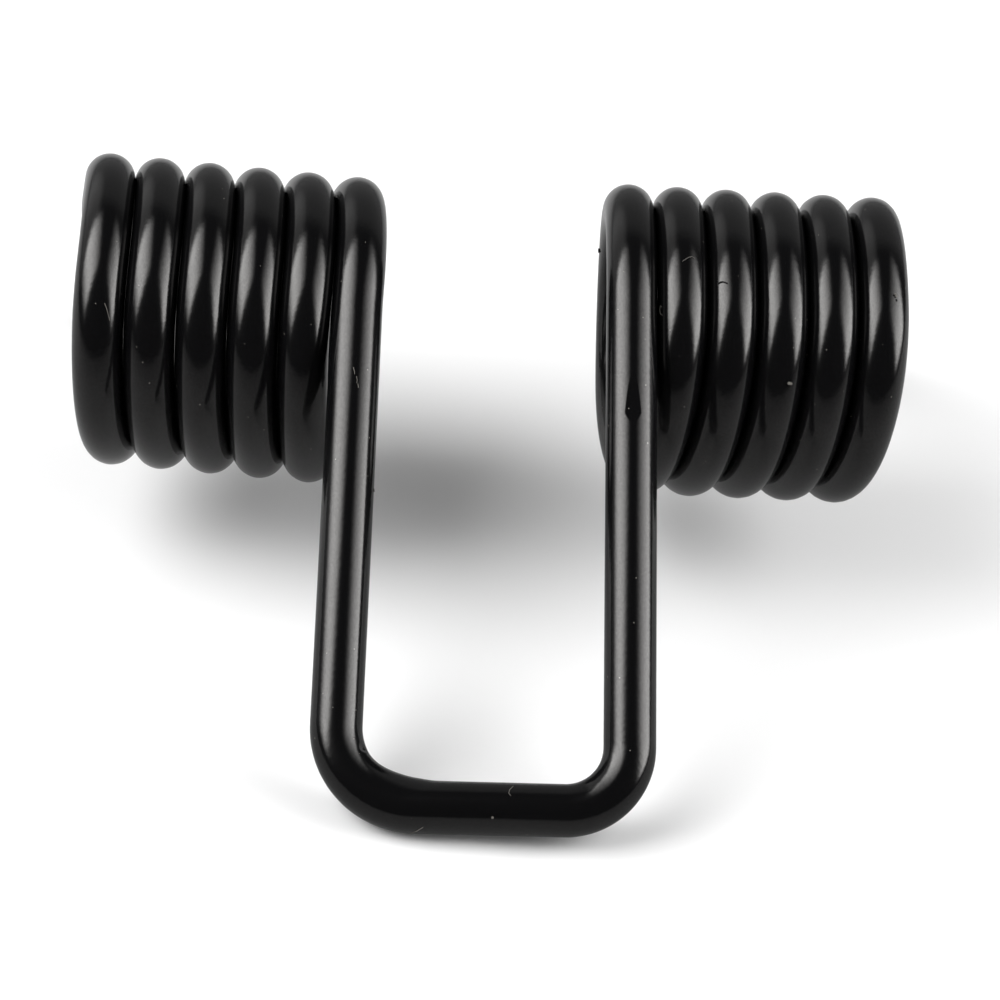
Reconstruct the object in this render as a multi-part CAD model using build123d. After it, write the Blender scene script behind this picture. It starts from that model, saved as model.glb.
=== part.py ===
from build123d import *

import math
import os

# A double torsion spring, bent in one piece from round coated spring wire.
# Two close-wound coils lie side by side. A leg leaves the front of each
# coil's innermost turn and runs down to a cross bar, which joins the two
# legs in a U. The wire's two ends are straight tails that leave the backs of
# the coils square to the legs.
#
# Lengths are in millimetres and angles in degrees. The spring is first laid
# out upright: X runs along the cross bar, Z up the legs to the coils, and Y
# to the back. It is then laid down as it rests on a flat floor, on the ends
# of both tails and on the cross bar, with its coils held clear of the floor.

# Wire and coils
wire_diameter = 4.0
turn_gap = 0.03  # clear gap between neighbouring turns
coil_mean_radius = 10.66  # from the coil's axis to the wire's centreline
whole_turns = 5  # in each coil, ahead of the quarter turn into its tail

# The U between the coils
leg_spacing = 21.63  # between the legs' centrelines where they meet the coils
leg_length = 41.2  # from a coil down to the cross bar's centreline
leg_splay = 0.56  # each leg leans outward on its way down to the cross bar
left_bend_radius = 6.1  # centreline of the bend from the left leg into the bar
right_bend_radius = 4.9  # centreline of the bend from the right leg into the bar

# The set of each coil on its leg, as it came off the coiler
left_coil_yaw = 4.4  # turned about the leg, anticlockwise from above
right_coil_yaw = 6.1
left_coil_tilt = 2.1  # leaned to the right, off the leg's line
right_coil_tilt = 0.0
slight_bend_radius = 60.0  # centreline of the bend that takes up the lean

# The wire's ends
tail_length = 31.0  # wire beyond the last quarter turn
tail_lead = 6.0  # part of that ahead of the slight bend that takes off the coil's lean

# Directions of the upright layout, and of the sides
RIGHT = Vector(1, 0, 0)
UP = Vector(0, 0, 1)
LEFT_SIDE = -1
RIGHT_SIDE = 1

QUARTER_TURN = 90.0
HALF_TURN = 180.0
FULL_TURN = 360.0
STRAIGHT = 0.001  # a smaller angle than this needs no bend
SETTLING_ROUNDS = 8  # rounds of finding the three supports and levelling on them


def underside(point, heading, up):
    """The lowest point of the wire's surface beside this point of its centreline."""
    down = heading * up.dot(heading) - up
    return point + down.normalized() * wire_diameter / 2


class Run:
    """A straight stretch of the wire."""

    def __init__(self, start, end):
        self.start = start
        self.end = end

    def length(self):
        """Length along the centreline."""
        return (self.end - self.start).length

    def lowest(self, up):
        """The point of the wire's surface that lies furthest down."""
        heading = (self.end - self.start).normalized()
        return min((underside(point, heading, up) for point in (self.start, self.end)), key=up.dot)

    def solid(self):
        """The wire along this stretch, cut square at both ends."""
        section = Plane(origin=self.start, z_dir=self.end - self.start) * Circle(wire_diameter / 2)
        return extrude(section, amount=self.length())


class Arc:
    """A circular stretch of the wire, from its start along a heading."""

    def __init__(self, start, centre, heading, angle):
        self.start = start
        self.centre = centre
        self.heading = heading
        self.angle = angle
        self.axis = (start - centre).cross(heading).normalized()

    def length(self):
        """Length along the centreline."""
        return (self.start - self.centre).length * math.radians(self.angle)

    def at(self, angle):
        """The centreline point after this much of the arc's turn."""
        return self.centre + (self.start - self.centre).rotate(Axis((0, 0, 0), self.axis), angle)

    def heading_at(self, angle):
        """The wire's heading after this much of the arc's turn."""
        return self.heading.rotate(Axis((0, 0, 0), self.axis), angle)

    def lowest(self, up):
        """The point of the wire's surface that lies furthest down."""
        down_in_plane = self.axis * up.dot(self.axis) - up
        bottom = (self.start - self.centre).get_signed_angle(down_in_plane, self.axis) % FULL_TURN
        turns = [turn for turn in (0, bottom, self.angle) if turn <= self.angle]
        return min((underside(self.at(turn), self.heading_at(turn), up) for turn in turns), key=up.dot)

    def solid(self):
        """The wire along this arc, cut square at both ends."""
        section = Plane(origin=self.start, z_dir=self.heading) * Circle(wire_diameter / 2)
        return revolve(section, axis=Axis(self.centre, self.axis), revolution_arc=self.angle)


def bend(corner, heading_in, heading_out, radius):
    """The arc that rounds the corner between two headings."""
    turn = heading_in.get_angle(heading_out)
    reach = radius * math.tan(math.radians(turn / 2))
    start = corner - heading_in * reach
    inward = (heading_out - heading_in * heading_in.dot(heading_out)).normalized()
    return Arc(start, start + inward * radius, heading_in, turn)


def leg_direction(side):
    """Up along the leg on this side."""
    return UP.rotate(Axis.Y, -side * leg_splay)


def coil_frame(side, yaw, tilt):
    """Plane at the top of a leg: its Z is the wire's heading into the coil, its Y the coil's back."""
    top = Pos(side * leg_spacing / 2, 0, 0)
    return Plane(top * Rot(0, -side * leg_splay, 0) * Rot(0, 0, yaw) * Rot(0, tilt, 0))


def coil(side, frame):
    """The turns of one coil, from the top of its leg out to the end of its tail.

    Each half turn is a flat arc that leans outward, so that neighbouring turns
    lie side by side with the turn gap between them.
    """
    lean = math.asin((wire_diameter + turn_gap) / (2 * coil_mean_radius)) / 2
    across = frame.y_dir * math.cos(lean) * coil_mean_radius
    outward = frame.x_dir * side * math.sin(lean) * coil_mean_radius
    stretches = []
    start = frame.origin
    for _ in range(whole_turns):
        over_the_top = Arc(start, start + outward + across, frame.z_dir, HALF_TURN)
        back = over_the_top.at(HALF_TURN)
        underneath = Arc(back, back + outward - across, -frame.z_dir, HALF_TURN)
        start = underneath.at(HALF_TURN)
        stretches += [over_the_top, underneath]
    last = Arc(start, start + outward + across, frame.z_dir, QUARTER_TURN)
    return stretches + [last, *tail(last.at(QUARTER_TURN), (outward + across).normalized(), frame.y_dir)]


def tail(start, lean_heading, straight_heading):
    """The wire's end: a short lead along the coil's lean, a slight bend and the straight tail."""
    corner = start + lean_heading * tail_lead
    taking_up = bend(corner, lean_heading, straight_heading, slight_bend_radius)
    end = corner + straight_heading * (tail_length - tail_lead)
    return [Run(start, taking_up.start), taking_up, Run(taking_up.at(taking_up.angle), end)]


def leg_top(side, frame):
    """The slight bend from a leg into its coil, if the coil leans off the leg, and the leg's foot.

    The foot is the corner where the leg's line meets the cross bar's.
    """
    direction = leg_direction(side)
    turn = direction.get_angle(frame.z_dir)
    reach = slight_bend_radius * math.tan(math.radians(turn / 2))
    corner = frame.origin - frame.z_dir * reach
    foot = corner - direction * (leg_length - reach)
    if turn < STRAIGHT:
        return [], foot
    return [bend(corner, direction, frame.z_dir, slight_bend_radius)], foot


def cross_bar(left_foot, right_foot):
    """The bend out of each leg and the straight bar between the two bends."""
    along = (right_foot - left_foot).normalized()
    left_bend = bend(left_foot, -leg_direction(LEFT_SIDE), along, left_bend_radius)
    right_bend = bend(right_foot, -leg_direction(RIGHT_SIDE), -along, right_bend_radius)
    bar = Run(left_bend.at(left_bend.angle), right_bend.at(right_bend.angle))
    return left_bend, bar, right_bend


def resting_up(left_coil, right_coil, bar):
    """The direction that is up once the spring stands on the lowest point of each of these."""
    slope = 2 * math.degrees(math.atan(coil_mean_radius / leg_length))
    up = UP.rotate(Axis.X, QUARTER_TURN - slope)
    for _ in range(SETTLING_ROUNDS):
        left, right, front = (
            min((stretch.lowest(up) for stretch in group), key=up.dot)
            for group in (left_coil, right_coil, bar)
        )
        up = (front - left).cross(right - left).normalized()
    return up


# The wire's stretches
left_frame = coil_frame(LEFT_SIDE, left_coil_yaw, left_coil_tilt)
right_frame = coil_frame(RIGHT_SIDE, right_coil_yaw, right_coil_tilt)
left_coil = coil(LEFT_SIDE, left_frame)
right_coil = coil(RIGHT_SIDE, right_frame)
left_entry, left_foot = leg_top(LEFT_SIDE, left_frame)
right_entry, right_foot = leg_top(RIGHT_SIDE, right_frame)
left_bend, bar, right_bend = cross_bar(left_foot, right_foot)
left_leg = Run(left_entry[0].start if left_entry else left_frame.origin, left_bend.start)
right_leg = Run(right_entry[0].start if right_entry else right_frame.origin, right_bend.start)
legs = [*left_entry, left_leg, *right_entry, right_leg]
stretches = [*left_coil, *right_coil, *legs, left_bend, bar, right_bend]

# One solid wire, laid down on its three supports
first, *others = [stretch.solid() for stretch in stretches]
wire = first.fuse(*others)
up = resting_up(left_coil, right_coil, [left_bend, bar, right_bend])
floor = Plane(origin=(0, 0, 0), x_dir=RIGHT - up * RIGHT.dot(up), z_dir=up)
laid_down = floor.to_local_coords(wire)

# The origin is on the floor, under the middle of the spring's box
box = laid_down.bounding_box()
spring_wire = Pos(-box.center().X, -box.center().Y, -box.min.Z) * laid_down
spring_wire.label = "spring_wire"

print("wire length", round(sum(stretch.length() for stretch in stretches), 1), "mm")

os.makedirs("parts", exist_ok=True)
export_step(spring_wire, "parts/spring_wire.step")
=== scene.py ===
"""Looks of a double torsion spring in black powder-coated wire.

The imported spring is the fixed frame: it says how large the wire is and where
it lies. The wire is modelled again in the same place, ring by ring along the
same straight runs and arcs, so that its tooling marks are real dents in it.
Lengths are in metres and angles in radians, written as MM and DEG multiples.
"""
import logging
import math
from dataclasses import dataclass, replace
from enum import Enum

import bpy
from mathutils import Matrix, Vector


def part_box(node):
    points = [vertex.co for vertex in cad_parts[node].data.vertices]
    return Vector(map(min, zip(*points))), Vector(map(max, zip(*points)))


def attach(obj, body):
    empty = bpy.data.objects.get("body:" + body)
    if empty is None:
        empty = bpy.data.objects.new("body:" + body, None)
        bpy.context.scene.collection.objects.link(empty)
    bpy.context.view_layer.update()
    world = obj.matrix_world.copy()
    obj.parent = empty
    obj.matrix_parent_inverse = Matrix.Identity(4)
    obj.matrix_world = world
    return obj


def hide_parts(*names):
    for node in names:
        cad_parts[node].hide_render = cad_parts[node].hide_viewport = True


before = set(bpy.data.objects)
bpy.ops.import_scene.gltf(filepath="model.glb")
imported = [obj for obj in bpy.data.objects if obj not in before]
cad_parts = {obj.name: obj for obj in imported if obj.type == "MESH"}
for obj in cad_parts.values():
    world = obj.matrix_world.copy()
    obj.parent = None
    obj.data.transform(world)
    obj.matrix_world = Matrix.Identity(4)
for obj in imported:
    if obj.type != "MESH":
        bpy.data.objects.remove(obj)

MM = 0.001
DEG = math.pi / 180
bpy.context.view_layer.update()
LOG = logging.getLogger("double_torsion_spring")

# noise textures keep to about this part of their range from 0 to 1
NOISE_LOW, NOISE_HIGH = 0.25, 0.75
# sockets and output of the Mix node that carry colours
MIX_COLOUR_A, MIX_COLOUR_B, MIX_COLOUR_OUT = 6, 7, 2

RIGHT = Vector((1, 0, 0))
BACK = Vector((0, 1, 0))
UP = Vector((0, 0, 1))


class Side(Enum):
    """The two sides of the spring, as the sign of X there."""

    LEFT = -1
    RIGHT = 1


def at_mm(x: float, y: float, z: float) -> Vector:
    """A place in the spring's frame, given in millimetres."""
    return Vector((x, y, z)) * MM


def deselect_all() -> None:
    """Deselects every object, in object mode."""
    if bpy.context.object and bpy.context.object.mode != "OBJECT":
        bpy.ops.object.mode_set(mode="OBJECT")
    bpy.ops.object.select_all(action="DESELECT")


def linear_colour(srgb_hex: str) -> tuple[float, float, float, float]:
    """Turns an sRGB hex colour into linear red, green, blue and alpha.

    Args:
        srgb_hex: Six hex digits, such as "0B0B0C".

    Returns:
        The colour as Blender's sockets take it, with an alpha of 1.
    """
    channels = (int(srgb_hex[i : i + 2], 16) / 255 for i in (0, 2, 4))
    red, green, blue = (c / 12.92 if c <= 0.04045 else ((c + 0.055) / 1.055) ** 2.4 for c in channels)
    return red, green, blue, 1.0


def add_node(
    tree: bpy.types.NodeTree, kind: str, settings: dict[str, object], inputs: dict[str | int, object]
) -> bpy.types.Node:
    """Adds a node with its settings, values and links.

    Args:
        tree: The node tree to add it to.
        kind: The node's type name.
        settings: Properties of the node itself.
        inputs: For each input socket, by name or place, a value or the output socket to link to it.

    Returns:
        The new node.
    """
    node = tree.nodes.new(kind)
    for name, value in settings.items():
        setattr(node, name, value)
    for name, value in inputs.items():
        if isinstance(value, bpy.types.NodeSocket):
            tree.links.new(value, node.inputs[name])
        else:
            node.inputs[name].default_value = value
    return node


@dataclass(frozen=True)
class Run:
    """A straight stretch of the wire's centreline."""

    start: Vector
    end: Vector
    steps: int

    @property
    def heading(self) -> Vector:
        """Unit direction along the stretch."""
        return (self.end - self.start).normalized()

    def places(self, up: Vector) -> list[tuple[Vector, Vector]]:
        """The centreline points, with the wire's heading there, that may lie furthest down."""
        return [(self.start, self.heading), (self.end, self.heading)]


@dataclass(frozen=True)
class Arc:
    """A circular stretch of the wire's centreline, from its start along a heading."""

    start: Vector
    centre: Vector
    heading: Vector
    angle: float
    steps: int

    @property
    def axis(self) -> Vector:
        """The axis that the stretch turns about, by the right-hand rule."""
        return (self.start - self.centre).cross(self.heading).normalized()

    def at(self, angle: float) -> Vector:
        """The centreline point after this much of the turn."""
        return self.centre + Matrix.Rotation(angle, 3, self.axis) @ (self.start - self.centre)

    @property
    def end(self) -> Vector:
        """The centreline point at the end of the turn."""
        return self.at(self.angle)

    def places(self, up: Vector) -> list[tuple[Vector, Vector]]:
        """The centreline points, with the wire's heading there, that may lie furthest down."""
        spoke = self.start - self.centre
        down = self.axis * up.dot(self.axis) - up
        bottom = math.atan2(spoke.cross(down).dot(self.axis), spoke.dot(down)) % math.tau
        turns = [turn for turn in (0.0, bottom, self.angle) if turn <= self.angle]
        return [(self.at(turn), Matrix.Rotation(turn, 3, self.axis) @ self.heading) for turn in turns]


def bend(corner: Vector, heading_in: Vector, heading_out: Vector, radius: float, steps: int) -> Arc:
    """Rounds the corner between two headings.

    Args:
        corner: Where the two straight lines would meet.
        heading_in: Unit direction into the corner.
        heading_out: Unit direction out of it.
        radius: Radius of the centreline.
        steps: Rings along the arc.

    Returns:
        The arc that is tangent to both lines.
    """
    turn = heading_in.angle(heading_out)
    start = corner - heading_in * radius * math.tan(turn / 2)
    inward = (heading_out - heading_in * heading_in.dot(heading_out)).normalized()
    return Arc(start, start + inward * radius, heading_in, turn, steps)


@dataclass(frozen=True)
class PowderCoat:
    """Black powder coat, sprayed dry and baked on: a hard satin-gloss film.

    The melt levels out into a fine orange peel, which breaks up its highlights,
    and it follows the slight waves of the drawn wire. A little dust lies on it.
    """

    name: str = "powder_coat_black"
    colour: str = "09090A"
    roughness: float = 0.15
    ior: float = 1.5
    gloss_tint: str = "FFFDFB"
    peel_size: float = 0.2 * MM
    peel_height: float = 0.003 * MM
    wave_size: float = 7.0 * MM
    wave_height: float = 0.02 * MM
    relief_softness: float = 0.4
    grain_size: float = 0.13 * MM
    grain_gloss: tuple[float, float] = (0.4, 0.6)
    dust_colour: str = "8C8881"
    dust_radius: float = 0.048 * MM
    dust_spacing: float = 1.15 * MM

    def material(self) -> bpy.types.Material:
        """Builds the coat's material."""
        material = bpy.data.materials.new(self.name)
        material.use_nodes = True
        tree = material.node_tree
        tree.nodes.clear()
        coords = add_node(tree, "ShaderNodeTexCoord", {}, {})
        place = coords.outputs["Object"]
        waves = self._relief(tree, place, self.wave_size, self.wave_height, 1.0, None)
        peel = self._relief(tree, place, self.peel_size, self.peel_height, 2.0, waves.outputs["Normal"])
        shader = add_node(
            tree,
            "ShaderNodeBsdfPrincipled",
            {},
            {
                "Base Color": self._dusted_colour(tree, place),
                "Specular IOR Level": self._uneven_gloss(tree, place),
                "Specular Tint": linear_colour(self.gloss_tint),
                "Roughness": self.roughness,
                "IOR": self.ior,
                "Normal": peel.outputs["Normal"],
            },
        )
        add_node(tree, "ShaderNodeOutputMaterial", {}, {"Surface": shader.outputs["BSDF"]})
        return material

    def _uneven_gloss(self, tree: bpy.types.NodeTree, place: bpy.types.NodeSocket) -> bpy.types.NodeSocket:
        """Varies the coat's gloss from grain to grain of the powder.

        Args:
            tree: The material's nodes.
            place: Object coordinates.

        Returns:
            The specular level.
        """
        grain = add_node(
            tree,
            "ShaderNodeTexNoise",
            {"noise_dimensions": "3D"},
            {"Vector": place, "Scale": 1 / self.grain_size, "Detail": 2.0},
        )
        dull, bright = self.grain_gloss
        level = add_node(
            tree,
            "ShaderNodeMapRange",
            {},
            {
                "Value": grain.outputs["Fac"],
                "From Min": NOISE_LOW,
                "From Max": NOISE_HIGH,
                "To Min": dull,
                "To Max": bright,
            },
        )
        return level.outputs["Result"]

    def _dusted_colour(self, tree: bpy.types.NodeTree, place: bpy.types.NodeSocket) -> bpy.types.NodeSocket:
        """Sprinkles fine pale dust over the coat's colour.

        Args:
            tree: The material's nodes.
            place: Object coordinates.

        Returns:
            The colour.
        """
        grains = add_node(
            tree,
            "ShaderNodeTexVoronoi",
            {"voronoi_dimensions": "3D", "feature": "F1"},
            {"Vector": place, "Scale": 1 / self.dust_spacing},
        )
        rim = self.dust_radius / self.dust_spacing
        covered = add_node(
            tree,
            "ShaderNodeMapRange",
            {"interpolation_type": "SMOOTHSTEP"},
            {
                "Value": grains.outputs["Distance"],
                "From Min": rim / 2,
                "From Max": rim,
                "To Min": 1.0,
                "To Max": 0.0,
            },
        )
        colour = add_node(
            tree,
            "ShaderNodeMix",
            {"data_type": "RGBA"},
            {
                "Factor": covered.outputs["Result"],
                MIX_COLOUR_A: linear_colour(self.colour),
                MIX_COLOUR_B: linear_colour(self.dust_colour),
            },
        )
        return colour.outputs[MIX_COLOUR_OUT]

    def _relief(
        self,
        tree: bpy.types.NodeTree,
        place: bpy.types.NodeSocket,
        size: float,
        height: float,
        detail: float,
        under: bpy.types.NodeSocket | None,
    ) -> bpy.types.Node:
        """Adds soft random relief of one size to the surface.

        Args:
            tree: The material's nodes.
            place: Object coordinates.
            size: Distance between neighbouring bumps.
            height: Height of the bumps.
            detail: Finer octaves in the noise.
            under: The normal to add the relief to, or None for the bare surface's.

        Returns:
            The bump node.
        """
        noise = add_node(
            tree,
            "ShaderNodeTexNoise",
            {"noise_dimensions": "3D"},
            {
                "Vector": place,
                "Scale": 1 / (2 * size),
                "Detail": detail,
                "Roughness": self.relief_softness,
            },
        )
        whole_range = height / (NOISE_HIGH - NOISE_LOW)
        inputs = {"Height": noise.outputs["Fac"], "Distance": whole_range, "Strength": 1.0}
        if under:
            inputs["Normal"] = under
        return add_node(tree, "ShaderNodeBump", {}, inputs)


@dataclass(frozen=True)
class Strike:
    """A flat struck into the wire by a tool: a shallow wedge with an abrupt end.

    Its places lie on the wire's surface, and it faces the way the tool came from.
    """

    start: Vector
    deepest: Vector
    end: Vector
    facing: Vector
    depth: float

    def faces(self, normal: Vector) -> bool:
        """Whether a surface with this normal is on the struck side of the wire."""
        return normal.dot(self.facing) >= math.cos(60 * DEG)

    def press(self, place: Vector, normal: Vector) -> float:
        """How far the surface is pressed in here, along its own normal."""
        along = (self.end - self.start).normalized()
        reached = (place - self.start).dot(along)
        deepest = (self.deepest - self.start).dot(along)
        whole = (self.end - self.start).dot(along)
        if not 0 < reached < whole or not self.faces(normal):
            return 0.0
        share = reached / deepest if reached < deepest else (whole - reached) / (whole - deepest)
        above = (place - self.start).dot(self.facing) + self.depth * share
        return max(0.0, above / normal.dot(self.facing))


@dataclass(frozen=True)
class Hollow:
    """A smooth hollow round a place on the surface, or a swelling if its depth is negative."""

    place: Vector
    along: Vector
    length: float
    width: float
    depth: float

    def press(self, place: Vector, normal: Vector) -> float:
        """How far the surface is pressed in here, along its own normal."""
        offset = place - self.place
        along = self.along.normalized()
        lengthwise = offset.dot(along)
        crosswise = (offset - along * lengthwise).length
        share = 1 - math.hypot(2 * lengthwise / self.length, 2 * crosswise / self.width)
        return self.depth * share * share * (3 - 2 * share) if share > 0 else 0.0


@dataclass
class WireSpring:
    """The one bent wire: two coils, two legs, the cross bar and the tails."""

    wire_diameter: float = 4.0 * MM
    turn_gap: float = 0.03 * MM
    film_growth: float = 0.014 * MM
    coil_mean_radius: float = 10.66 * MM
    whole_turns: int = 5
    leg_spacing: float = 21.63 * MM
    leg_length: float = 41.2 * MM
    leg_splay: float = 0.56 * DEG
    left_bend_radius: float = 6.1 * MM
    right_bend_radius: float = 4.9 * MM
    left_coil_yaw: float = 4.4 * DEG
    right_coil_yaw: float = 6.1 * DEG
    left_coil_tilt: float = 2.1 * DEG
    right_coil_tilt: float = 0.0
    slight_bend_radius: float = 60.0 * MM
    tail_length: float = 31.0 * MM
    tail_lead: float = 6.0 * MM
    end_rounding: float = 0.3 * MM
    ring_points: int = 56
    fine_step: float = 0.25 * MM
    coil_step: float = 5.0 * DEG
    slight_bend_steps: int = 6
    lead_steps: int = 8
    tail_steps: int = 40
    end_rounds: int = 4
    least_turn: float = 0.001 * DEG
    merge_distance: float = 0.001 * MM
    crease_angle: float = 40 * DEG
    settling_rounds: int = 8
    strike_margin: float = 0.6 * MM
    strike_cuts: int = 3
    node: str = "spring_wire"
    coat: PowderCoat = PowderCoat()
    marks: tuple[Strike | Hollow, ...] = (
        # struck into the front of the right leg
        Strike(
            start=at_mm(12.38, -7.95, 25.36),
            deepest=at_mm(12.55, -10.40, 23.48),
            end=at_mm(12.60, -11.00, 23.01),
            facing=Vector((-0.02, -0.611, 0.792)).normalized(),
            depth=0.105 * MM,
        ),
        # ripples across the right leg
        Hollow(at_mm(12.10, -3.50, 28.80), RIGHT, 5.5 * MM, 0.9 * MM, 0.012 * MM),
        Hollow(at_mm(11.99, -1.40, 30.36), RIGHT, 5.5 * MM, 1.0 * MM, 0.010 * MM),
        # the inside of the left bend, which bulged as it was bent
        Hollow(
            place=at_mm(-3.57, -31.98, 3.35),
            along=Vector((0.951, -0.244, -0.188)),
            length=6.6 * MM,
            width=4.5 * MM,
            depth=-0.32 * MM,
        ),
        # bites of the bending tool inside the left bend and the right one
        Hollow(at_mm(-6.39, -30.86, 5.17), Vector((0.3, 0.9, -0.3)), 1.5 * MM, 1.0 * MM, 0.16 * MM),
        Hollow(at_mm(10.62, -33.54, 5.16), Vector((0.5, 0.8, 0.0)), 2.2 * MM, 1.4 * MM, 0.07 * MM),
    )

    @property
    def film_radius(self) -> float:
        """Radius out to the coat, whose film closes the gaps that the solid keeps between its turns."""
        return self.wire_diameter / 2 + self.film_growth

    def leg_direction(self, side: Side) -> Vector:
        """Up along the leg on this side."""
        return Matrix.Rotation(-side.value * self.leg_splay, 3, "Y") @ UP

    def coil_axes(self, side: Side) -> Matrix:
        """The coil's own axes as columns: outward along X, to its back along Y, up into it along Z."""
        yaw = self.left_coil_yaw if side is Side.LEFT else self.right_coil_yaw
        tilt = self.left_coil_tilt if side is Side.LEFT else self.right_coil_tilt
        splay = Matrix.Rotation(-side.value * self.leg_splay, 3, "Y")
        return splay @ Matrix.Rotation(yaw, 3, "Z") @ Matrix.Rotation(tilt, 3, "Y")

    def leg_foot(self, side: Side) -> tuple[Vector, Vector, float]:
        """Places a leg under its coil.

        Args:
            side: Which leg.

        Returns:
            The corner where its line meets the cross bar's, the corner of its
            slight bend into the coil, and that bend's angle.
        """
        direction = self.leg_direction(side)
        into_coil = self.coil_axes(side).col[2]
        turn = direction.angle(into_coil)
        reach = self.slight_bend_radius * math.tan(turn / 2)
        entry_corner = RIGHT * (side.value * self.leg_spacing / 2) - into_coil * reach
        return entry_corner - direction * (self.leg_length - reach), entry_corner, turn

    def loop(self, side: Side) -> list[Run | Arc]:
        """The stretches from the middle of the cross bar up to the coil on one side."""
        foot, entry_corner, entry_turn = self.leg_foot(side)
        other_foot = self.leg_foot(Side(-side.value))[0]
        outward = (foot - other_foot).normalized()
        direction = self.leg_direction(side)
        into_coil = self.coil_axes(side).col[2].copy()
        radius = self.left_bend_radius if side is Side.LEFT else self.right_bend_radius
        bend_steps = round(radius * math.pi / 2 / self.fine_step)
        corner = bend(foot, outward, direction, radius, bend_steps)
        top = RIGHT * (side.value * self.leg_spacing / 2)
        entry = bend(entry_corner, direction, into_coil, self.slight_bend_radius, self.slight_bend_steps)
        is_bent = entry_turn > self.least_turn
        leg_top = entry.start if is_bent else top
        middle = (foot + other_foot) / 2
        bar_steps = round((corner.start - middle).length / self.fine_step)
        leg_steps = round((leg_top - corner.end).length / self.fine_step)
        stretches = [Run(middle, corner.start, bar_steps), corner, Run(corner.end, leg_top, leg_steps)]
        return stretches + ([entry] if is_bent else [])

    def coil(self, side: Side) -> list[Run | Arc]:
        """The turns of one coil and its tail, from the top of the leg outward."""
        axes = self.coil_axes(side)
        lean = math.asin((self.wire_diameter + self.turn_gap) / (2 * self.coil_mean_radius)) / 2
        across = axes.col[1] * math.cos(lean) * self.coil_mean_radius
        outward = axes.col[0] * side.value * math.sin(lean) * self.coil_mean_radius
        heading = axes.col[2].copy()
        steps = round(math.pi / self.coil_step)
        start = RIGHT * (side.value * self.leg_spacing / 2)
        stretches = []
        for _ in range(self.whole_turns):
            over_the_top = Arc(start, start + outward + across, heading, math.pi, steps)
            back = over_the_top.end
            underneath = Arc(back, back + outward - across, -heading, math.pi, steps)
            start = underneath.end
            stretches += [over_the_top, underneath]
        last = Arc(start, start + outward + across, heading, math.pi / 2, steps // 2)
        return stretches + [last, *self.tail(last.end, (outward + across).normalized(), axes.col[1].copy())]

    def tail(self, start: Vector, lean_heading: Vector, straight_heading: Vector) -> list[Run | Arc]:
        """The wire's end: a short lead along the coil's lean, a slight bend and the straight tail.

        Args:
            start: The end of the coil's last quarter turn.
            lean_heading: Unit direction there, with the coil's lean.
            straight_heading: Unit direction of the straight tail, square to the coil's axis.

        Returns:
            The tail's stretches, up to where its end is rounded off.
        """
        corner = start + lean_heading * self.tail_lead
        slight = bend(
            corner, lean_heading, straight_heading, self.slight_bend_radius, self.slight_bend_steps
        )
        end = corner + straight_heading * (self.tail_length - self.tail_lead - self.end_rounding)
        return [Run(start, slight.start, self.lead_steps), slight, Run(slight.end, end, self.tail_steps)]

    def foot(self, stretches: list[Run | Arc], up: Vector) -> Vector:
        """The lowest point of the wire's surface along these stretches."""
        feet = []
        for stretch in stretches:
            for place, heading in stretch.places(up):
                down = (heading * up.dot(heading) - up).normalized()
                feet.append(place + down * self.wire_diameter / 2)
        return min(feet, key=up.dot)

    def resting_up(self) -> Vector:
        """The direction that is up once the spring stands on both tails and its cross bar."""
        square_cut = replace(self, end_rounding=0.0)
        bar = self.loop(Side.LEFT)[:2] + self.loop(Side.RIGHT)[:2]
        supports = (square_cut.coil(Side.LEFT), square_cut.coil(Side.RIGHT), bar)
        slope = 2 * math.atan(self.coil_mean_radius / self.leg_length)
        up = Matrix.Rotation(math.pi / 2 - slope, 3, "X") @ UP
        for _ in range(self.settling_rounds):
            left, right, front = (self.foot(group, up) for group in supports)
            up = (front - left).cross(right - left).normalized()
        return up

    def build(self) -> bpy.types.Object:
        """Models the wire from the middle of the cross bar out to both tails."""
        middle = self.loop(Side.LEFT)[0].start
        heading = (self.loop(Side.RIGHT)[0].end - middle).normalized()
        deselect_all()
        bpy.ops.mesh.primitive_circle_add(
            vertices=self.ring_points,
            radius=self.film_radius,
            fill_type="NOTHING",
            location=middle,
            rotation=heading.to_track_quat("Z", "Y").to_euler(),
        )
        wire = bpy.context.object
        wire.name = "coated_wire"
        wire.data.name = "coated_wire"
        bpy.ops.object.transform_apply(location=True, rotation=True, scale=True)
        first_ring = range(self.ring_points)
        for side in Side:
            self._select_points(wire, first_ring)
            stretches = self.loop(side) + self.coil(side)
            for stretch in stretches:
                self._follow(stretch)
            self._round_off_end(stretches[-1])
        self._face_outward(wire)
        self._lay_down(wire)
        self._refine_struck_part(wire)
        self._press_marks(wire)
        wire.data.materials.append(self.coat.material())
        deselect_all()
        wire.select_set(True)
        bpy.context.view_layer.objects.active = wire
        bpy.ops.object.shade_smooth_by_angle(angle=self.crease_angle)
        return wire

    def _select_points(self, wire: bpy.types.Object, points: range) -> None:
        """Selects just these points of the mesh and goes into edit mode."""
        bpy.ops.object.mode_set(mode="EDIT")
        bpy.ops.mesh.select_mode(type="EDGE")
        bpy.ops.mesh.select_all(action="DESELECT")
        bpy.ops.object.mode_set(mode="OBJECT")
        for edge in wire.data.edges:
            edge.select = all(point in points for point in edge.vertices)
        for point in points:
            wire.data.vertices[point].select = True
        bpy.ops.object.mode_set(mode="EDIT")

    def _follow(self, stretch: Run | Arc) -> None:
        """Draws the selected ring out along a stretch."""
        if isinstance(stretch, Run):
            step = (stretch.end - stretch.start) / stretch.steps
            bpy.ops.mesh.extrude_repeat(steps=stretch.steps, offset=step)
        else:
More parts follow.
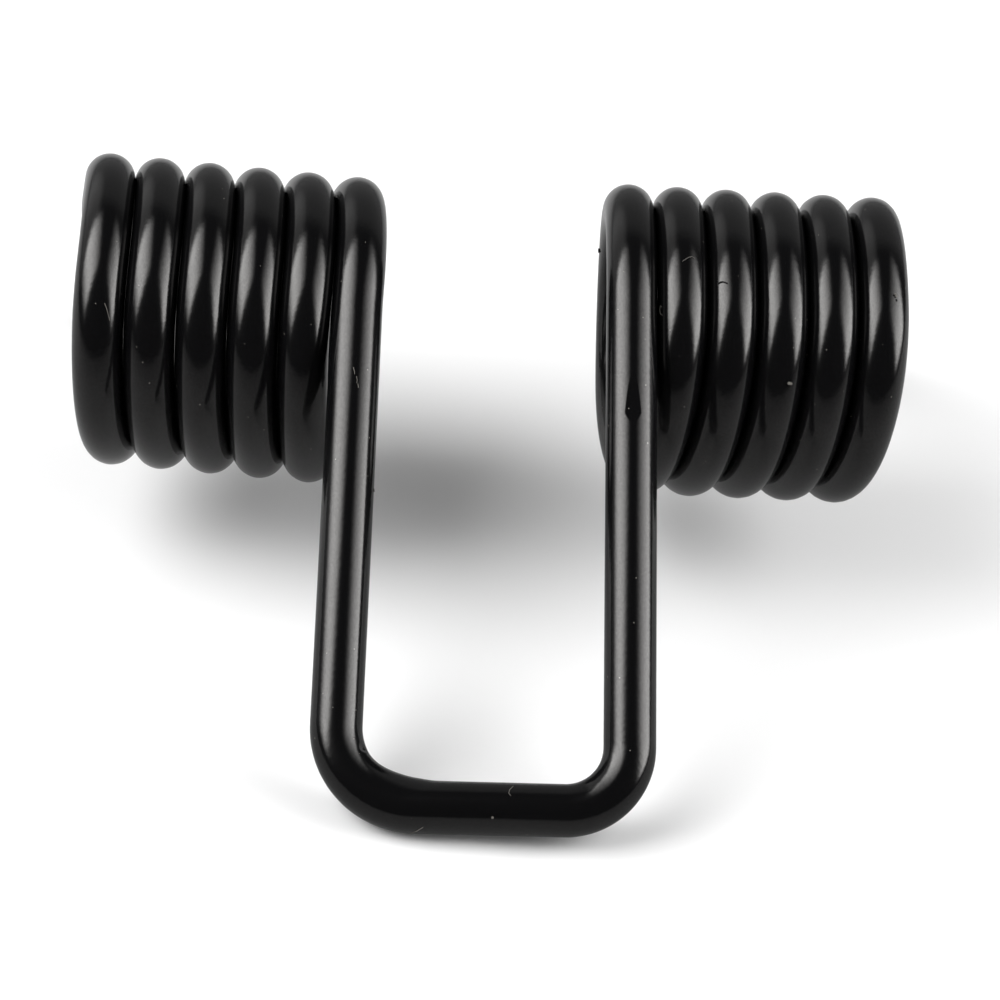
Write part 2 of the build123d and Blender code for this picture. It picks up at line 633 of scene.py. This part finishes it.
            # with no window, spin turns the left-handed way about its axis
            bpy.ops.mesh.spin(
                steps=stretch.steps, angle=stretch.angle, center=stretch.centre, axis=-stretch.axis
            )

    def _round_off_end(self, tail: Run) -> None:
        """Closes the wire's end with a flat cut face, whose edge the coat rounds."""
        bpy.context.scene.tool_settings.transform_pivot_point = "BOUNDING_BOX_CENTER"
        width, reach = self.film_radius, 0.0
        for step in range(1, self.end_rounds + 1):
            angle = math.pi / 2 * step / self.end_rounds
            new_reach = self.end_rounding * math.sin(angle)
            new_width = self.film_radius - self.end_rounding * (1 - math.cos(angle))
            place = tail.end + tail.heading * new_reach
            offset = tail.heading * (new_reach - reach)
            bpy.ops.mesh.extrude_region_move(TRANSFORM_OT_translate={"value": offset})
            bpy.ops.transform.resize(value=(new_width / width,) * 3, center_override=place)
            width, reach = new_width, new_reach
        bpy.ops.mesh.edge_face_add()
        bpy.ops.object.mode_set(mode="OBJECT")

    def _face_outward(self, wire: bpy.types.Object) -> None:
        """Merges doubled points and turns every face outward."""
        bpy.ops.object.mode_set(mode="EDIT")
        bpy.ops.mesh.select_all(action="SELECT")
        bpy.ops.mesh.remove_doubles(threshold=self.merge_distance)
        bpy.ops.mesh.normals_make_consistent(inside=False)
        bpy.ops.object.mode_set(mode="OBJECT")

    def _lay_down(self, wire: bpy.types.Object) -> None:
        """Turns the upright wire to its rest and stands it in its CAD node's place."""
        up = self.resting_up()
        along = (RIGHT - up * RIGHT.dot(up)).normalized()
        wire.data.transform(Matrix((along, up.cross(along), up)).to_4x4())
        low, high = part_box(self.node)
        points = [point.co for point in wire.data.vertices]
        own_low = Vector(min(p[i] for p in points) for i in range(3))
        own_high = Vector(max(p[i] for p in points) for i in range(3))
        shift = (low + high - own_low - own_high) / 2
        shift.z = low.z - own_low.z
        wire.data.transform(Matrix.Translation(shift))

    def _refine_struck_part(self, wire: bpy.types.Object) -> None:
        """Splits the faces round each struck flat finely enough for its edges."""
        strikes = [mark for mark in self.marks if isinstance(mark, Strike)]
        deselect_all()
        wire.select_set(True)
        bpy.context.view_layer.objects.active = wire
        bpy.ops.object.mode_set(mode="EDIT")
        bpy.ops.mesh.select_mode(type="FACE")
        bpy.ops.mesh.select_all(action="DESELECT")
        bpy.ops.object.mode_set(mode="OBJECT")
        for strike in strikes:
            middle = (strike.start + strike.end) / 2
            reach = (strike.end - strike.start).length / 2 + self.strike_margin
            for face in wire.data.polygons:
                close = (face.center - middle).length < reach
                face.select = close and strike.faces(face.normal)
        bpy.ops.object.mode_set(mode="EDIT")
        bpy.ops.mesh.subdivide(number_cuts=self.strike_cuts, smoothness=1.0)
        bpy.ops.object.mode_set(mode="OBJECT")

    def _press_marks(self, wire: bpy.types.Object) -> None:
        """Presses the tool marks into the surface with a Displace modifier for each."""
        for number, mark in enumerate(self.marks):
            presses = {}
            for point in wire.data.vertices:
                press = mark.press(point.co, point.normal)
                if press:
                    presses[point.index] = press
            name = f"mark_{number}"
            group = wire.vertex_groups.new(name=name)
            deepest = max(abs(press) for press in presses.values())
            for index, press in presses.items():
                group.add([index], abs(press) / deepest, "REPLACE")
            modifier = wire.modifiers.new(name, "DISPLACE")
            modifier.vertex_group = name
            modifier.mid_level = 0.0
            modifier.strength = -math.copysign(deepest, mark.depth)
            bpy.context.view_layer.objects.active = wire
            bpy.ops.object.modifier_apply(modifier=name)
            wire.vertex_groups.remove(wire.vertex_groups[name])


@dataclass(frozen=True)
class Thread:
    """A thin closed thread through a few places on the coat."""

    radius: float
    places: tuple[Vector, ...]
    sides: int = 6

    def build(self) -> bpy.types.Object:
        """Draws the thread out of a small disc, from place to place."""
        heading = (self.places[-1] - self.places[0]).normalized()
        deselect_all()
        bpy.ops.mesh.primitive_circle_add(
            vertices=self.sides,
            radius=self.radius,
            fill_type="NGON",
            location=self.places[0],
            rotation=heading.to_track_quat("Z", "Y").to_euler(),
        )
        thread = bpy.context.object
        bpy.ops.object.transform_apply(location=True, rotation=True, scale=True)
        bpy.ops.object.mode_set(mode="EDIT")
        bpy.ops.mesh.select_all(action="SELECT")
        for here, there in zip(self.places, self.places[1:]):
            bpy.ops.mesh.extrude_region_move(TRANSFORM_OT_translate={"value": there - here})
        bpy.ops.object.mode_set(mode="OBJECT")
        return thread


@dataclass(frozen=True)
class Grain:
    """A small rounded grain of dirt on the coat."""

    radius: float
    place: Vector

    def build(self) -> bpy.types.Object:
        """Adds the grain at its place."""
        deselect_all()
        bpy.ops.mesh.primitive_ico_sphere_add(subdivisions=2, radius=self.radius, location=self.place)
        return bpy.context.object


@dataclass(frozen=True)
class Lint:
    """Threads and grains of one colour, joined into one piece that lies on the coat."""

    name: str
    material_name: str
    colour: str
    scraps: tuple[Thread | Grain, ...]
    roughness: float = 0.8

    def build(self) -> bpy.types.Object:
        """Joins the scraps into one object, whose place is in its mesh."""
        pieces = [scrap.build() for scrap in self.scraps]
        deselect_all()
        for piece in pieces:
            piece.select_set(True)
        bpy.context.view_layer.objects.active = pieces[0]
        bpy.ops.object.join()
        lint = bpy.context.object
        bpy.ops.object.transform_apply(location=True, rotation=True, scale=True)
        bpy.ops.object.mode_set(mode="EDIT")
        bpy.ops.mesh.select_all(action="SELECT")
        bpy.ops.mesh.normals_make_consistent(inside=False)
        bpy.ops.object.mode_set(mode="OBJECT")
        lint.name = self.name
        lint.data.name = self.name
        lint.data.materials.append(self._material())
        return lint

    def _material(self) -> bpy.types.Material:
        """Builds the matt material of the fibres."""
        material = bpy.data.materials.new(self.material_name)
        material.use_nodes = True
        tree = material.node_tree
        tree.nodes.clear()
        look = {"Base Color": linear_colour(self.colour), "Roughness": self.roughness}
        shader = add_node(tree, "ShaderNodeBsdfPrincipled", {}, look)
        add_node(tree, "ShaderNodeOutputMaterial", {}, {"Surface": shader.outputs["BSDF"]})
        return material


PALE_LINT = Lint(
    name="lint_pale",
    material_name="cotton_fibre_pale",
    colour="605D58",
    scraps=(
        # wavy thread on top of the right coil's second turn
        Thread(
            radius=0.026 * MM,
            places=(
                at_mm(15.91, 0.10, 30.98),
                at_mm(16.20, 0.33, 31.08),
                at_mm(16.45, 0.52, 31.15),
                at_mm(16.66, 0.62, 31.15),
                at_mm(16.87, 0.56, 31.02),
            ),
        ),
        # under the cross bar's front
        Thread(
            radius=0.035 * MM,
            places=(at_mm(-2.38, -35.31, 0.84), at_mm(-1.92, -35.62, 1.40), at_mm(-1.50, -35.70, 1.88)),
        ),
        # curl on top of the cross bar
        Thread(
            radius=0.026 * MM,
            places=(
                at_mm(5.07, -33.26, 4.44),
                at_mm(4.79, -33.77, 4.49),
                at_mm(4.75, -34.08, 4.44),
                at_mm(4.91, -34.30, 4.38),
            ),
        ),
        # curl in the groove beside the right leg
        Thread(
            radius=0.022 * MM,
            places=(
                at_mm(14.42, -2.05, 28.10),
                at_mm(14.38, -2.30, 27.86),
                at_mm(14.42, -2.62, 27.72),
                at_mm(14.58, -2.90, 27.72),
            ),
        ),
        # down the left coil's outermost turn
        Thread(
            radius=0.030 * MM,
            places=(
                at_mm(-29.02, -5.00, 26.50),
                at_mm(-28.84, -5.16, 26.13),
                at_mm(-28.72, -5.30, 25.75),
                at_mm(-28.55, -5.53, 25.25),
            ),
        ),
        # a scuff in three strokes on the front of the left leg, and a short stroke lower down
        Thread(
            radius=0.030 * MM,
            places=(at_mm(-9.32, -7.95, 24.17), at_mm(-9.20, -8.22, 23.95), at_mm(-9.17, -8.38, 23.82)),
        ),
        Thread(
            radius=0.030 * MM,
            places=(at_mm(-9.02, -8.50, 23.70), at_mm(-8.93, -8.76, 23.50), at_mm(-8.97, -8.92, 23.38)),
        ),
        Thread(0.030 * MM, (at_mm(-8.87, -8.95, 23.34), at_mm(-8.80, -9.20, 23.14))),
        Thread(0.045 * MM, (at_mm(-7.06, -14.20, 17.22), at_mm(-7.00, -14.40, 17.06))),
        # on the right coil, the cross bar and the right coil's outermost turn
        Grain(0.14 * MM, at_mm(24.97, -5.46, 23.88)),
        Grain(0.12 * MM, at_mm(25.12, -5.42, 23.83)),
        Grain(0.10 * MM, at_mm(3.64, -35.54, 3.19)),
        Grain(0.10 * MM, at_mm(32.96, -0.38, 29.64)),
        Grain(0.08 * MM, at_mm(33.05, -0.49, 29.51)),
        Grain(0.06 * MM, at_mm(17.38, -2.54, 28.10)),
    ),
)
DARK_LINT = Lint(
    name="lint_dark",
    material_name="cotton_fibre_black",
    colour="0B0A0A",
    scraps=(
        # arched fibre on the right coil's third turn
        Thread(
            radius=0.060 * MM,
            places=(
                at_mm(18.86, -0.72, 29.66),
                at_mm(19.02, -0.74, 29.84),
                at_mm(19.20, -0.80, 29.92),
                at_mm(19.40, -0.93, 29.94),
                at_mm(19.58, -1.02, 29.92),
            ),
        ),
        # beside the grains on the right coil's outermost turn
        Thread(0.060 * MM, (at_mm(33.06, -0.58, 29.33), at_mm(33.12, -0.72, 29.22))),
        # on the back of the right coil's first turn
        Thread(0.080 * MM, (at_mm(10.22, 15.61, 21.88), at_mm(10.25, 15.39, 21.59))),
    ),
)


@dataclass(frozen=True)
class SoftBox:
    """A soft box beside the spring, brightest low down and fading towards its edges."""

    name: str
    place: Vector
    facing: Vector
    width: float
    height: float
    side_fade: float
    lower_fade: float
    upper_fade: float
    brightness: float

    def build(self) -> bpy.types.Object:
        """Adds the soft box at its place, with its fading brightness."""
        light = bpy.data.lights.new(f"soft_box_{self.name}", "AREA")
        light.shape = "RECTANGLE"
        light.size = self.width
        light.size_y = self.height
        light.energy = self.brightness * math.pi * self.width * self.height
        light.use_nodes = True
        self._fade(light.node_tree)
        box = bpy.data.objects.new(light.name, light)
        bpy.context.scene.collection.objects.link(box)
        box.location = self.place
        box.rotation_euler = self.facing.to_track_quat("-Z", "Y").to_euler()
        return box

    def _fade(self, tree: bpy.types.NodeTree) -> None:
        """Fades the light out over the given shares of its width and height."""
        tree.nodes.clear()
        place = add_node(tree, "ShaderNodeTexCoord", {}, {})
        axes = add_node(tree, "ShaderNodeSeparateXYZ", {}, {"Vector": place.outputs["UV"]})
        across, up = axes.outputs["X"], axes.outputs["Y"]
        glow = 1.0
        for value, dark, bright in (
            (across, 0.0, self.side_fade / 2),
            (across, 1.0, 1.0 - self.side_fade / 2),
            (up, 0.0, self.lower_fade),
            (up, 1.0, 1.0 - self.upper_fade),
        ):
            rising = dark < bright
            ramp = add_node(
                tree,
                "ShaderNodeMapRange",
                {"interpolation_type": "SMOOTHSTEP"},
                {
                    "Value": value,
                    "From Min": dark if rising else bright,
                    "From Max": bright if rising else dark,
                    "To Min": 0.0 if rising else 1.0,
                    "To Max": 1.0 if rising else 0.0,
                },
            )
            product = add_node(
                tree, "ShaderNodeMath", {"operation": "MULTIPLY"}, {0: glow, 1: ramp.outputs["Result"]}
            )
            glow = product.outputs["Value"]
        emission = add_node(tree, "ShaderNodeEmission", {}, {"Strength": glow})
        add_node(tree, "ShaderNodeOutputLight", {}, {"Surface": emission.outputs["Emission"]})


@dataclass(frozen=True)
class Wall:
    """A pale wall of the room: light from round a direction, out to where it has faded."""

    direction: Vector
    faded: float
    full: float
    light: float


@dataclass
class Studio:
    """A plain white table between two soft boxes, and the camera.

    The table is two planes in one place, which split its work. The camera and
    matt surfaces see one. Only glossy surfaces see the other, whose colour is
    painted shade, darker towards the front. The fill light reaches matt surfaces alone.
    """

    soft_boxes: tuple[SoftBox, ...] = (
        SoftBox(
            name="left",
            place=Vector((-242, -42, 250)) * MM,
            facing=Vector((0.645, 0.110, -0.756)),
            width=332 * MM,
            height=490 * MM,
            side_fade=0.46,
            lower_fade=0.38,
            upper_fade=0.6,
            brightness=7.6,
        ),
        SoftBox(
            name="right",
            place=Vector((271, -30, 176)) * MM,
            facing=Vector((-0.601, 0.118, -0.790)),
            width=318 * MM,
            height=436 * MM,
            side_fade=0.6,
            lower_fade=0.18,
            upper_fade=0.72,
            brightness=7.2,
        ),
    )
    floor_size: float = 3.0
    floor_colour: str = "F4F4F4"
    # colours of the table that the gloss sees: painted shade, darker at the front than at the back
    mirrored_front: float = 0.24
    mirrored_back: float = 0.55
    mirrored_shade: tuple[float, float] = (-110 * MM, 60 * MM)
    fill_light: float = 0.25
    room_light: float = 0.03
    room_colour: str = "FFFFFF"
    walls: tuple[Wall, ...] = (
        Wall(direction=Vector((0.0, 0.99, 0.15)).normalized(), faded=0.5, full=0.75, light=0.2),
        Wall(direction=Vector((-0.76, 0.49, 0.43)).normalized(), faded=0.8, full=0.97, light=0.4),
    )
    camera_target: Vector = Vector((2.937, -9.947, 13.786)) * MM
    camera_distance: float = 253.11 * MM
    camera_elevation: float = 36.696 * DEG
    camera_azimuth: float = 2.044 * DEG
    camera_roll: float = 5.245 * DEG
    lens: float = 114.75
    sensor: float = 36.0

    def build(self) -> None:
        """Sets up the floor, the lights and the camera."""
        table = self._floor("white_table")
        table.visible_glossy = False
        table.visible_shadow = False
        mirrored = self._floor("white_table_mirrored")
        mirrored.visible_camera = False
        mirrored.visible_diffuse = False
        mirrored.visible_shadow = False
        self._paint_shade_towards_front(mirrored.data.materials[0].node_tree)
        for soft_box in self.soft_boxes:
            soft_box.build()
        self._world()
        self._camera()

    def _floor(self, name: str) -> bpy.types.Object:
        """Adds a flat matt table top."""
        deselect_all()
        bpy.ops.mesh.primitive_plane_add(size=self.floor_size, location=(0, 0, 0))
        floor = bpy.context.object
        floor.name = name
        material = bpy.data.materials.new(f"paper_{name}")
        material.use_nodes = True
        tree = material.node_tree
        tree.nodes.clear()
        shader = add_node(tree, "ShaderNodeBsdfDiffuse", {}, {"Color": linear_colour(self.floor_colour)})
        add_node(tree, "ShaderNodeOutputMaterial", {}, {"Surface": shader.outputs["BSDF"]})
        floor.data.materials.append(material)
        return floor

    def _paint_shade_towards_front(self, tree: bpy.types.NodeTree) -> None:
        """Paints shade on the table that only glossy surfaces see: darker from behind the spring towards
        its front.
        """
        place = add_node(tree, "ShaderNodeTexCoord", {}, {})
        axes = add_node(tree, "ShaderNodeSeparateXYZ", {}, {"Vector": place.outputs["Object"]})
        front, back = self.mirrored_shade
        paleness = add_node(
            tree,
            "ShaderNodeMapRange",
            {"interpolation_type": "SMOOTHSTEP"},
            {
                "Value": axes.outputs["Y"],
                "From Min": front,
                "From Max": back,
                "To Min": self.mirrored_front,
                "To Max": self.mirrored_back,
            },
        )
        paper = next(node for node in tree.nodes if node.type == "BSDF_DIFFUSE")
        tree.links.new(paleness.outputs["Result"], paper.inputs["Color"])

    def _world(self) -> None:
        """Fills the room with dim light, a little brighter from the walls behind and to the left."""
        world = bpy.data.worlds.new("studio")
        world.use_nodes = True
        tree = world.node_tree
        tree.nodes.clear()
        place = add_node(tree, "ShaderNodeTexCoord", {}, {})
        light = self.room_light
        for wall in self.walls:
            towards = add_node(
                tree,
                "ShaderNodeVectorMath",
                {"operation": "DOT_PRODUCT"},
                {0: place.outputs["Generated"], 1: wall.direction},
            )
            glow = add_node(
                tree,
                "ShaderNodeMapRange",
                {"interpolation_type": "SMOOTHSTEP"},
                {
                    "Value": towards.outputs["Value"],
                    "From Min": wall.faded,
                    "From Max": wall.full,
                    "To Max": wall.light,
                },
            )
            total = add_node(
                tree, "ShaderNodeMath", {"operation": "ADD"}, {0: light, 1: glow.outputs["Result"]}
            )
            light = total.outputs["Value"]
        path = add_node(tree, "ShaderNodeLightPath", {}, {})
        filled = add_node(
            tree,
            "ShaderNodeMath",
            {"operation": "MULTIPLY_ADD"},
            {0: path.outputs["Is Diffuse Ray"], 1: self.fill_light, 2: light},
        )
        background = add_node(
            tree,
            "ShaderNodeBackground",
            {},
            {"Color": linear_colour(self.room_colour), "Strength": filled.outputs["Value"]},
        )
        add_node(tree, "ShaderNodeOutputWorld", {}, {"Surface": background.outputs["Background"]})
        bpy.context.scene.world = world

    def _camera(self) -> None:
        """Places the camera in front of the spring, looking down at it."""
        flat = Matrix.Rotation(-self.camera_azimuth, 3, "Z") @ BACK
        sideways = flat.cross(UP)
        forward = Matrix.Rotation(-self.camera_elevation, 3, sideways) @ flat
        rolled_right = Matrix.Rotation(-self.camera_roll, 3, forward) @ sideways
        camera = bpy.data.cameras.new("camera")
        camera.lens = self.lens
        camera.sensor_width = self.sensor
        camera.clip_start = 10 * MM
        holder = bpy.data.objects.new("camera", camera)
        bpy.context.scene.collection.objects.link(holder)
        axes = Matrix((rolled_right, rolled_right.cross(forward), -forward)).transposed()
        place = self.camera_target - forward * self.camera_distance
        holder.matrix_world = Matrix.Translation(place) @ axes.to_4x4()
        bpy.context.scene.camera = holder
        bpy.context.scene.view_settings.view_transform = "Standard"


def main() -> None:
    """Builds the spring and the studio around it."""
    spring = WireSpring()
    wire = spring.build()
    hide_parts(spring.node)
    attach(wire, "root")
    LOG.info("%s: %d faces", wire.name, len(wire.data.polygons))
    for lint in (PALE_LINT.build(), DARK_LINT.build()):
        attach(lint, "root")
        LOG.info("%s: %d faces", lint.name, len(lint.data.polygons))
    Studio().build()
    LOG.info("studio: table, two soft boxes and camera")


if __name__ == "__main__":
    logging.basicConfig(level=logging.INFO, format="%(message)s")
    main()
